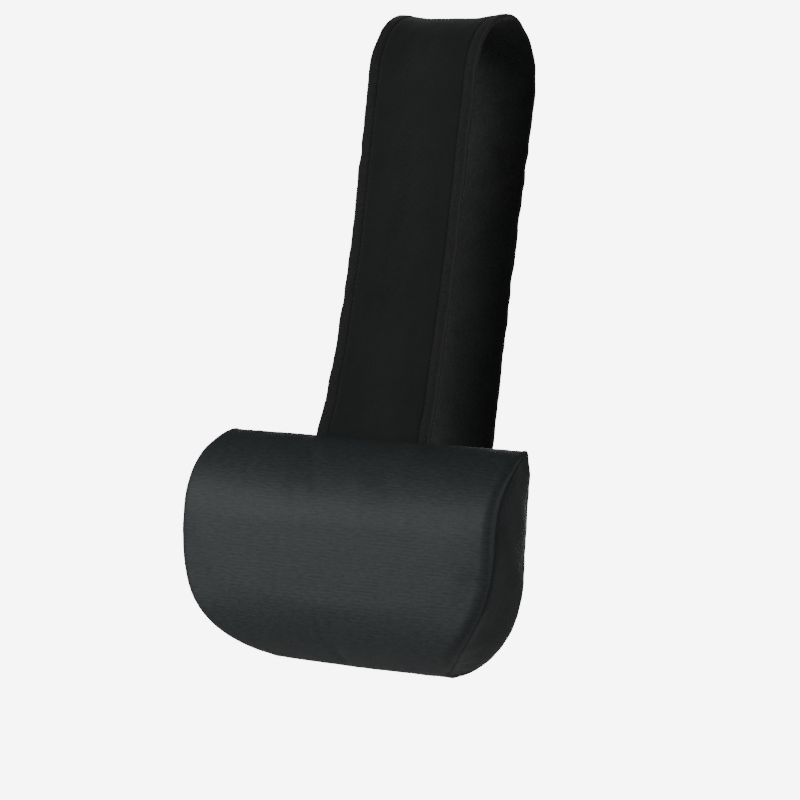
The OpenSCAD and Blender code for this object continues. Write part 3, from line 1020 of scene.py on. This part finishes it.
def ply_section(kind):
    """Closed outline across one layer: arrays of u and height."""
    edge = STRAP_HALF
    dense = np.r_[np.linspace(0, GROOVE_AT - 5, 15)[:-1], np.linspace(GROOVE_AT - 5, edge - 2.2, 21)]
    u = np.r_[-dense[::-1], dense[1:]]
    if kind == "outer":
        top = outer_height(u)
        e = top[-1]
        turn_u = edge + np.array([-1.2, -0.35, 0.0, 0.1, 0.0, -0.5, -1.6])
        turn_h = np.array([e - 0.15, e - 0.65, e - 1.3, 2.1, 1.6, 1.3, 1.28])
        inner_u = np.array([edge - 5.0, edge - 5.4, edge - 6.2, GROOVE_AT, GROOVE_AT - 4, 20])
        inner_u = np.r_[inner_u, -inner_u[::-1]]
        under = outer_height(inner_u) - PLY_T
        under[0] = under[-1] = 1.28
        under[1] = under[-2] = 1.28 + 0.5 * (under[2] - 1.28)
        su = np.r_[u, turn_u, inner_u, -turn_u[::-1]]
        sh = np.r_[top, turn_h, under, turn_h[::-1]]
        return su, sh
    if kind == "inner":
        base = 0.10 * np.cos(np.clip(np.abs(u) / GROOVE_AT, 0, 1) * math.pi / 2)
        low = base + 0.45 * bell(np.abs(u) - GROOVE_AT, 1.4)
        turn_u = edge - 0.7 + np.array([-0.8, -0.2, 0.0, -0.2, -0.8])
        turn_h = np.array([0.05, 0.25, 0.6, 0.95, 1.12])
        top_u = u[::-1]
        su = np.r_[u, turn_u, top_u, -turn_u[::-1]]
        sh = np.r_[low, turn_h, np.full_like(top_u, 1.16), turn_h[::-1]]
        return su, sh
    half = GROOVE_AT + 2.4
    core = np.linspace(-half, half, 31)
    top = np.minimum(outer_height(core) - PLY_T - 0.12, 2.8)
    return np.r_[core, core[::-1]], np.r_[np.full_like(core, 1.28), top[::-1]]


def strap_width(s, total, side):
    """Share of the full width at length s: a touch narrower halfway, wider at the cushion."""
    t = s / total
    widening = 0.008 if side < 0 else 0.0
    return 1 - 0.012 * np.sin(math.pi * np.clip(t, 0, 1)) ** 2 + widening * smooth_step((t - 0.85) / 0.15)


def place_section(p, n, s, total, side, su, sh):
    """Rings of a section along the path, with the waviness of real fabric."""
    run, out = (s * side)[:, None], su[None]
    u = out * strap_width(s, total, side)[:, None]
    ramp = smooth_step(s / 60)[:, None] * smooth_step((total - s) / 30)[:, None]
    wave = 0.45 * ripples(run, out, 70, 61) + 0.18 * ripples(run, out, 22, 62)
    rim = smooth_step((np.abs(out) - 44) / 12)
    wave = wave * (0.4 + 0.6 * ramp)
    wave += rim * 0.35 * ripples(run, np.sign(out) * 40, 16, 63)
    if side < 0:
        near_end = smooth_step((s / total - 0.78) / 0.22)[:, None]
        u = u - STRAP_FLARE * np.clip(-out / STRAP_HALF, 0, 1) ** 2 * near_end
    u = u + rim * np.sign(out) * 0.5 * ripples(run, np.sign(out) * 90, 26, 64)
    # the rims curl up a little where the strap turns over the chair
    curl = CREST_CURL * bell(s, CURL_REACH)[:, None] * smooth_step((np.abs(out) - 22) / 36)
    h = sh[None] + wave + curl
    return np.stack([u, p[:, None, 0] + n[:, None, 0] * h, p[:, None, 1] + n[:, None, 1] * h], -1)


def strap_layers(side, tag, parts):
    """Each layer of one side of the strap, cut into stretches that each cross one joint."""
    p, s = strap_path(side)
    n = path_normals(p, side)
    n[0] = (0.0, 1.0)
    total = s[-1]
    half_way = int(np.argmin(np.abs(s - 0.5 * total)))
    spans = [(0, half_way + 1), (half_way, len(s))]
    for kind, material, slot in (
        ("outer", STRAP_VELOUR, "velour"),
        ("interlining", FELT, "interlining"),
        ("inner", GRIP_VELOUR, "velour"),
    ):
        su, sh = ply_section(kind)
        rings = place_section(p, n, s, total, side, su, sh)
        uv = np.stack(np.meshgrid(su, s * side), -1)
        for (first, last), (part, body), end in zip(spans, parts, ("crest", tag)):
            verts, faces, t = tube_mesh(rings[first:last][::side], uv[first:last][::side])
            obj = make_piece(f"Strap{kind.capitalize()}{part}", verts, faces, t, material, 60.0)
            finish_piece(obj, body, [f"strap_{kind}_{end}"])
    for (first, last), (part, body) in zip(spans, parts):
        rows = []
        for edge in (-1, 1):
            line_u = np.array([edge * GROOVE_AT])
            line_h = outer_height(line_u)
            line = place_section(p, n, s, total, side, line_u, line_h)[first:last, 0]
            normal = np.stack([0 * s, n[:, 0], n[:, 1]], -1)[first:last]
            trim = slice(1, None) if part.endswith("Upper") else slice(0, -4)
            rows.append(stitches(line[trim], normal[trim], 70 + edge, 0.02))
        thread_piece(f"StrapTopstitch{part}", rows, body)


def zone(joint, reach_up, reach_down):
    """Start and end of a fabric bend at a joint, above and below it."""
    at = Vector(JOINT[joint]) * MM
    return at + Vector((0, 0, reach_up * MM)), at - Vector((0, 0, reach_down * MM))


strap_layers(-1, "front", [
    ("FrontUpper", ("saddle", "front_strap", *zone("front_fold", 26, 30))),
    ("FrontLower", ("front_strap", "cushion", *zone("cushion_fold", 10, 4))),
])
strap_layers(1, "rear", [
    ("RearUpper", ("saddle", "rear_strap", *zone("rear_fold", 26, 30))),
    ("RearLower", ("rear_strap", "counterweight", *zone("weight_fold", 10, 4))),
])

# ---- Inside the cushion -----------------------------------------------------------------------


def filling(name, inset, back, material, node, seed):
    """Foam or liner: the cushion's own form, drawn in."""
    z, depth, half, seam = body_rows(inset)
    # the filling ends where it is still a little deep, above and below
    depth = np.maximum(depth, back + 2.0)
    seam = np.maximum(seam, back + 1.0)
    front = whole(face_half(z, depth, half, seam))
    side = np.linspace(0, 1, 9)[1:]
    edge = front[:, -1:]
    right = edge + side[None, :, None] * (edge * [1, 0, 1] - [0, back, 0] - edge)
    left = mirror(right)
    outer = np.concatenate([left[:, ::-1], front, right], 1)
    n = grid_normals(outer)
    over = along(outer, 1)
    outer = outer + n * (0.25 * ripples(over, along(outer, 0), 30, seed))[..., None]
    rows, cols = outer.shape[:2]
    rear = outer.copy()
    rear[..., 1] = -back
    faces = two_sided(quads_of(rows, cols), rows * cols)
    uv = outer[..., ::2]
    obj = make_piece(name, from_cushion(points_of(outer, rear)), faces, points_of(uv, uv), material)
    return finish_piece(obj, "cushion", [node])


filling("FoamLiner", 5.6, 5.6, TRICOT, "foam_liner", 81)
filling("FoamCore", 6.8, 6.8, FOAM, "foam_core", 82)


# Name, CAD node, the slab's radius, step, swell, wave and seed, finish, and how it is held
for name, node, form, material, slot, held, rests_on in (
    ("StrapEndAllowance", "strap_end_allowance", (1.2, 2.5, 0.05, 0.15, 83), STRAP_VELOUR, "velour",
     "hung", "StrapInnerFrontLower"),
    ("CareLabel", "care_label", (0.2, 1.2, 0.3, 0.12, 84), SATIN, "label", "laid", "BackPanelLower"),
    ("ZipTapeUpper", "zip_tape_upper", (0.28, 2.4, 0.1, 0.1, 85), TAPE, "zip_tape",
     "stretched", "BackPanelUpper"),
    ("ZipTapeLower", "zip_tape_lower", (0.28, 2.4, 0.1, 0.1, 85), TAPE, "zip_tape",
     "stretched", "BackPanelLower"),
):
    lo, hi = cushion_box(node)
    cushion_piece(name, slab_mesh(lo, hi, *form), material, [node])

# ---- Weighted pouch ------------------------------------------------------------------------------

PANEL_T = 1.2
POUCH_H = POUCH_TOP[2] - POUCH_LO[2]
POUCH_D = POUCH_HI[1] - POUCH_TOP[1]
MOUTH_TOP, MOUTH_LOW = -9.0, -23.0
# Radii of the outer panel's foot, top edge and sides
FOOT_R, TOP_EDGE_R, SIDE_R = 5.0, 1.8, 5.0
# The panel lies this far inside the CAD's solid at the top and at the foot
TOP_INSET, FOOT_INSET = 0.35, 0.4
# Pull of the pouch's seams
SEAM_PULL = 0.9
MOUTH_HALF = (HOOK_HI[0] - HOOK_LO[0]) / 2


def pouch_piece(name, parts, material, nodes, body="counterweight"):
    verts, faces, uv = parts
    obj = make_piece(name, from_pouch(verts), faces, uv, material)
    return finish_piece(obj, body, nodes)


def pouch_inner():
    x = np.linspace(-1, 1, 61)
    z = np.linspace(0, 1, 71)
    xx, zz = np.meshgrid(STRAP_HALF * (x + 0.05 * np.sin(math.pi * x)), -(0.3 + (POUCH_H - 0.6) * z))
    side = STRAP_HALF - np.abs(xx)
    low = POUCH_H + zz
    lift = SEAM_PULL * bell(np.minimum(side, low), 1.8)
    lift += 0.35 * ripples(xx, zz, 34, 91) * smooth_step(side / 12) * smooth_step(low / 12) + 0.3
    p = np.stack([xx, lift, zz], -1)
    return sheet_mesh(p, PANEL_T - 0.25, np.stack([xx, zz], -1), False)


def pouch_outer():
    """Tray-like outer panel: rounded walls, a mouth under the flap, and seams that pull in."""
    a = np.linspace(0, math.pi / 2, 8)
    top_z, foot_z = -TOP_INSET, -POUCH_H + FOOT_INSET
    # behind the strap's end, forward over the top edge, down the wall, round the foot and back
    top = [(d, top_z) for d in np.linspace(TUCK + STRAP_T + 1.0 - 4.4, POUCH_D - TOP_EDGE_R, 6)[:-1]]
    turn = [(POUCH_D - TOP_EDGE_R + TOP_EDGE_R * math.sin(t), top_z - TOP_EDGE_R + TOP_EDGE_R * math.cos(t))
            for t in a]
    zs = np.r_[np.linspace(top_z - TOP_EDGE_R, MOUTH_TOP, 4)[1:], np.linspace(MOUTH_TOP, MOUTH_LOW, 10)[1:],
               np.linspace(MOUTH_LOW, foot_z + FOOT_R, 52)[1:]]
    wall = [(POUCH_D, z) for z in zs]
    foot = [(POUCH_D - FOOT_R + FOOT_R * math.cos(t), foot_z + FOOT_R - FOOT_R * math.sin(t)) for t in a[1:]]
    base = [(d, foot_z) for d in np.linspace(POUCH_D - FOOT_R, 1.6, 7)[1:]]
    line = np.array(top + turn + wall + foot + base)
    depth, z = line[:, 0], line[:, 1]
    seam = np.minimum(1.5, depth * 0.5)
    ry = np.minimum(SIDE_R, 0.6 * (depth - seam))
    b = np.linspace(0, math.pi / 2, 7)[1:]
    side = np.linspace(0, 1, 6)[1:]
    flat = np.r_[np.linspace(0, MOUTH_HALF, 20), np.linspace(MOUTH_HALF, STRAP_HALF - SIDE_R, 5)[1:]]
    x = np.r_[flat, STRAP_HALF - SIDE_R + SIDE_R * np.sin(b), np.full(len(side), STRAP_HALF)]
    xx, zz = np.meshgrid(x, z)
    p = whole(np.stack([xx, wall_depths(depth, seam, ry, len(flat), b, side), zz], -1))
    over, run = along(p, 1), along(p, 0)
    n = grid_normals(p, True)
    to_side = np.minimum(over, over[:, -1:] - over)
    lift = -SEAM_PULL * bell(np.minimum(to_side, run[-1:] - run), 2.0)
    calm = smooth_step(to_side / 16) * smooth_step((-p[..., 2] - 30) / 20)
    lift += calm * (0.7 * ripples(over, run, 36, 92) - 0.9)
    # the bag's sewn channels show faintly
    third = 2 * STRAP_HALF / 3
    for c in (-third / 2, third / 2):
        lift += -SEAM_PULL * calm * bell(p[..., 0] - c, 4.0)
    lift -= 0.25 * (p[..., 2] > -30)
    lift[:len(top)] = 0
    p = p + n * lift[..., None]
    keep = np.ones((len(z) - 1, p.shape[1] - 1), bool)
    mid_x = np.abs(p[:-1, :-1, 0] + p[1:, 1:, 0]) / 2
    mid_z = (z[:-1] + z[1:])[:, None] / 2
    on_wall = (depth[:-1] > POUCH_D - 0.01)[:, None]
    keep &= ~((mid_x < MOUTH_HALF - 0.5) & (mid_z < MOUTH_TOP) & (mid_z > MOUTH_LOW) & on_wall)
    # the top has no side walls of its own
    keep[:len(top), :len(side)] = keep[:len(top), -len(side):] = False
    return sheet_mesh(p, PANEL_T, np.stack([over, -run], -1), True, keep)


pouch_piece("PouchInnerPanel", pouch_inner(), BACK_VELOUR, ["pouch_inner_panel"])
pouch_piece("PouchOuterPanel", pouch_outer(), BACK_VELOUR, ["pouch_outer_panel"])


def shot_parts():
    """The bag of three sewn channels, and what fills each."""
    lo, hi = BAG_LO - POUCH_TOP, BAG_HI - POUCH_TOP
    third = (hi[0] - lo[0]) / 3
    cols, rows = 22, 40

    def channel(k, inset, seed):
        x = lo[0] + third * k + inset + (third - 2 * inset) * (np.linspace(0, 1, cols))
        z = np.linspace(hi[2] - inset, lo[2] + inset, rows)
        mid, room = (lo[1] + hi[1]) / 2, (hi[1] - lo[1]) / 2 - inset
        g = np.clip(1 - (2 * (x - x.mean()) / (x[-1] - x[0])) ** 2, 0, 1) ** 0.38
        f = np.clip(1 - (2 * (z - z.mean()) / (z[0] - z[-1])) ** 8, 0, 1) ** 0.6
        fall = 0.80 + 0.20 * smooth_step(np.linspace(0, 1.6, rows))
        amount = room * (f * fall)[:, None] * g[None]
        xx, zz = np.meshgrid(x, z)
        lumps = 0.25 * ripples(xx, zz, 9, seed) * g[None] * f[:, None]
        front = np.stack([xx, mid + np.minimum(amount + lumps, room) + 0.12, zz], -1)
        back = np.stack([xx, mid - np.minimum(amount - lumps, room) - 0.12, zz], -1)
        uv = np.stack([xx, zz], -1)
        faces = two_sided(quads_of(rows, cols)[:, ::-1], rows * cols)
        return points_of(front, back), faces, points_of(uv, uv)

    return [join(*[channel(k, inset, seed + k) for k in range(3)]) for inset, seed in ((0.0, 95), (1.0, 98))]


bag_parts, fill_parts = shot_parts()
pouch_piece("ShotBag", bag_parts, COTTON, ["shot_bag"])
pouch_piece("ShotFill", fill_parts, SHOT, ["shot_fill"])
for name, lo, hi, material, node, body in (
    ("LoopStrip", LOOP_LO, LOOP_HI, LOOPS, "loop_strip", "counterweight"),
    ("HookStrip", HOOK_LO, HOOK_HI, HOOKS, "hook_strip", "flap"),
):
    strip = slab_mesh(lo - POUCH_TOP, hi - POUCH_TOP, 0.5, 1.6, 0.06, 0.08, 101)
    pouch_piece(name, strip, material, [node], body=body)

# The flap's hem corners, and how tightly it turns over the pouch's top
FLAP_CORNER_R, FLAP_TURN_R = 10.0, 2.3
# Height of the flap's face over the pouch's top
FLAP_RISE = 0.55


def flap():
    """Flap: from its sewn top edge over the mouth, with a turned hem and rounded corners."""
    lap = POUCH_TOP[2] - FLAP_LO[2]
    outer_y = FLAP_HI[1] - POUCH_TOP[1] - 0.1
    near_y = POUCH_D + PANEL_T + 0.15
    r = FLAP_TURN_R
    a = np.linspace(0, math.pi / 2, 7)
    top = [(near_y - r + r * math.sin(t), FLAP_RISE - r + r * math.cos(t)) for t in a]
    z = np.linspace(FLAP_RISE - r, -lap + 0.2, 36)[1:]
    over_strips = smooth_step((-z - 7) / 18)
    line = np.array(top + list(zip(near_y + (outer_y - near_y) * over_strips, z)))
    u = np.linspace(-1, 1, 73)
    x = STRAP_HALF * (u + 0.05 * np.sin(math.pi * u))
    xx, yy = np.meshgrid(x, line[:, 0])
    zz = wide(line[:, 1], len(x))
    inside = np.clip(np.abs(xx) - (STRAP_HALF - FLAP_CORNER_R), 0, FLAP_CORNER_R)
    raise_by = FLAP_CORNER_R - np.sqrt(FLAP_CORNER_R**2 - inside**2)
    zz = zz + raise_by * smooth_step((-zz - lap * 0.5) / (lap * 0.5))
    low = np.linspace(lap, 0, len(line))[:, None] + 0 * xx
    side = STRAP_HALF - np.abs(xx)
    d = np.minimum(side, np.maximum(low, 0))
    lift = -0.35 * bell(d - 5.5, 0.9) + 0.10 * bell(d, 3)
    lift += 0.25 * ripples(xx, zz, 40, 105) * smooth_step(-zz / 12)
    p = np.stack([xx, yy + lift, zz], -1)
    return p, sheet_mesh(p, PANEL_T, np.stack([xx, zz], -1), True)


flap_grid, flap_parts = flap()
pouch_piece("PouchFlap", flap_parts, STRAP_VELOUR, ["pouch_flap"], "flap")
flap_line = np.concatenate([flap_grid[4:-5, 4], flap_grid[-5, 5:-5], flap_grid[4:-5, -5][::-1]])
flap_normals = np.tile([0, 1.0, 0], (len(flap_line), 1))
thread_piece("FlapTopstitch", [stitches(from_pouch(flap_line), flap_normals, 111)], "flap")

# ---- Camera, light and floor ---------------------------------------------------------------------

VIEW_AZ, VIEW_EL, VIEW_ROLL = 28.68, -5.58, 7.06
VIEW_DIST, VIEW_F = 2457.0, 2612.0
VIEW_SHIFT = (1.1, -126.5)
VIEW_TARGET = Vector((0, -63, -250))


def add_camera():
    a, e, r = map(math.radians, (VIEW_AZ, VIEW_EL, VIEW_ROLL))
    back = Vector((math.sin(a) * math.cos(e), -math.cos(a) * math.cos(e), math.sin(e)))
    right = Vector((math.cos(a), math.sin(a), 0))
    up = back.cross(right)
    x_axis = math.cos(r) * right + math.sin(r) * up
    y_axis = -math.sin(r) * right + math.cos(r) * up
    at = (VIEW_TARGET + back * VIEW_DIST + x_axis * VIEW_SHIFT[0] + y_axis * VIEW_SHIFT[1]) * MM
    data = bpy.data.cameras.new("Camera")
    data.sensor_width, data.lens = 36.0, VIEW_F * 36.0 / 800.0
    data.clip_start, data.clip_end = 0.05, 100.0
    cam = new_object("Camera", data)
    m = Matrix((x_axis, y_axis, back)).transposed().to_4x4()
    m.translation = at
    cam.matrix_world = m
    bpy.context.scene.camera = cam


def add_light(name, at, aim, size, power, spread=180.0):
    data = bpy.data.lights.new(name, "AREA")
    data.shape, data.size, data.energy, data.spread = "DISK", size, power, math.radians(spread)
    obj = new_object(name, data)
    obj.location = at
    obj.rotation_mode = "QUATERNION"
    obj.rotation_quaternion = (Vector(aim) - Vector(at)).to_track_quat("-Z", "Y")


FLOOR_BELOW = 0.40


def add_floor():
    """Pale floor that fades into the backdrop, so that no horizon shows."""
    size, cells = 8.0, 16
    g = np.linspace(-size, size, cells + 1)
    xx, yy = np.meshgrid(g, g)
    z = float(CAD_BOX[0][2]) - FLOOR_BELOW
    verts = np.stack([xx, yy, np.full_like(xx, z)], -1).reshape(-1, 3)
    mesh = bpy.data.meshes.new("Floor")
    mesh.from_pydata(verts.tolist(), [], [tuple(map(int, q)) for q in quads_of(cells + 1, cells + 1)])
    m = Paint("FloorPaper")
    flat = m.scaled(m.place, (1.0, 1.0, 0.0))
    far = m.add("VectorMath", {0: flat}, output=1, operation="LENGTH")
    tooth = m.noise(m.place, 60.0, 3.0)
    m.set(Base_Color=m.mix(tooth, (0.58, 0.58, 0.58), (0.63, 0.63, 0.63)), Roughness=0.95)
    clear = m.add("BsdfTransparent")
    fade = m.add("MixShader", {0: m.ramp(far, 0.5, 2.2), 1: m.bsdf.outputs[0], 2: clear})
    m.put(m.out.inputs[0], fade)
    mesh.materials.append(m.material)
    new_object("Floor", mesh)


ROOM_LIGHT, BACKDROP_LIGHT = 0.09, 7.4


def add_world():
    world = bpy.data.worlds.new("Studio")
    world.use_nodes = True
    tree = world.node_tree
    back = tree.nodes["Background"]
    back.inputs[0].default_value = (1.0, 1.0, 1.0, 1.0)
    # the backdrop is lit brighter than the room
    seen = tree.nodes.new("ShaderNodeLightPath")
    level = tree.nodes.new("ShaderNodeMapRange")
    level.inputs["To Min"].default_value, level.inputs["To Max"].default_value = ROOM_LIGHT, BACKDROP_LIGHT
    tree.links.new(seen.outputs["Is Camera Ray"], level.inputs["Value"])
    tree.links.new(level.outputs[0], back.inputs[1])
    bpy.context.scene.world = world


add_camera()
add_floor()
add_world()
add_light("Key", (-1.3, -2.3, -0.06), (0, -0.1, -0.42), 1.2, 90.0)
add_light("Fill", (2.1, -1.6, -0.1), (0, -0.1, -0.35), 1.6, 18.0)
add_light("Back", (-0.7, 2.5, 0.1), (0, 0, -0.25), 1.8, 24.0, 60.0)
add_light("Side", (2.6, 1.2, 0.1), (0, 0, -0.30), 1.4, 4.5, 60.0)
